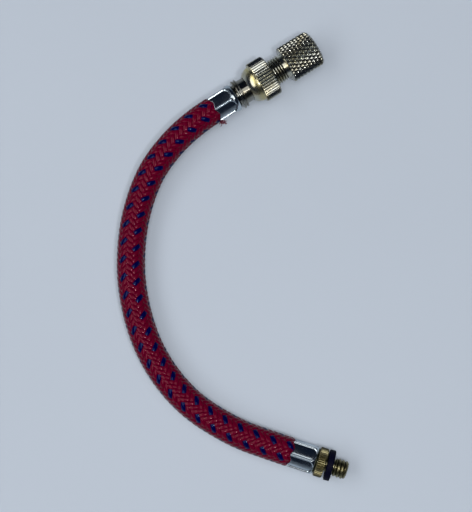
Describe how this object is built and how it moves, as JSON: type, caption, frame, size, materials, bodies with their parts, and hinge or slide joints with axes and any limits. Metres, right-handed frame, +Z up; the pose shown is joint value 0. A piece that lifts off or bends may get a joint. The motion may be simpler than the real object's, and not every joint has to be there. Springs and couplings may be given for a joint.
{
  "type": "bicycle pump hose",
  "caption": "Short braided rubber hose for a bicycle pump, with a swivel nut and screw-in valve adapter at one end and a male pump thread at the other.",
  "frame": {"origin": "on the table, under the middle of the box round the metal fittings, the hose left out", "axes": "+Z up from the table the hose lies on, +Y from the pump end towards the valve end, +X to the right of the picture"},
  "size_m": [0.0653, 0.1276, 0.0121],
  "materials": {
    "ferrule_nickel": "bright nickel plate, worn, with a blue-grey sheen",
    "valve_brass": "pale worn nickel-plated brass, the yellow brass showing through on the dome",
    "pump_brass": "bare brass, dulled olive",
    "black_rubber": "matt black rubber",
    "liner_rubber": "black rubber tube",
    "braid_textile": "crimson filament braid with navy tracer yarns"
  },
  "bodies": {
    "hose_assembly": {"crimp_ferrule_valve": "ferrule_nickel", "valve_tail": "valve_brass", "core_depressor": "valve_brass", "hose_liner": "liner_rubber", "hose_braid": "braid_textile", "crimp_ferrule_pump": "ferrule_nickel", "pump_tail": "pump_brass", "pump_washer": "black_rubber"},
    "nut_washer": {"swivel_washer": "black_rubber"},
    "nut": {"swivel_nut": "valve_brass"},
    "socket_seal": {"adapter_seal": "black_rubber"},
    "adapter": {"valve_adapter": "valve_brass"}
  },
  "joints": [
    {"name": "nut_play", "type": "slide", "parent": "hose_assembly", "child": "nut_washer", "axis": [0.8443, 0.5358, 0], "range_m": [-0.00015, 0.00015]},
    {"name": "nut_spin", "type": "hinge", "parent": "nut_washer", "child": "nut", "pos_m": [-0.00377, 0.05034, 0.00605], "axis": [0.8443, 0.5358, 0], "continuous": true},
    {"name": "adapter_travel", "type": "slide", "parent": "nut", "child": "socket_seal", "axis": [0.8443, 0.5358, 0], "range_m": [-0.00159, 0.00159]},
    {"name": "adapter_turn", "type": "hinge", "parent": "socket_seal", "child": "adapter", "pos_m": [0.00594, 0.0565, 0.00605], "axis": [0.8443, 0.5358, 0], "range_deg": [-720, 720]}
  ],
  "couplings": [
    {"joint": "adapter_turn", "follows": "adapter_travel", "rad_per_m": 7915.8}
  ]
}
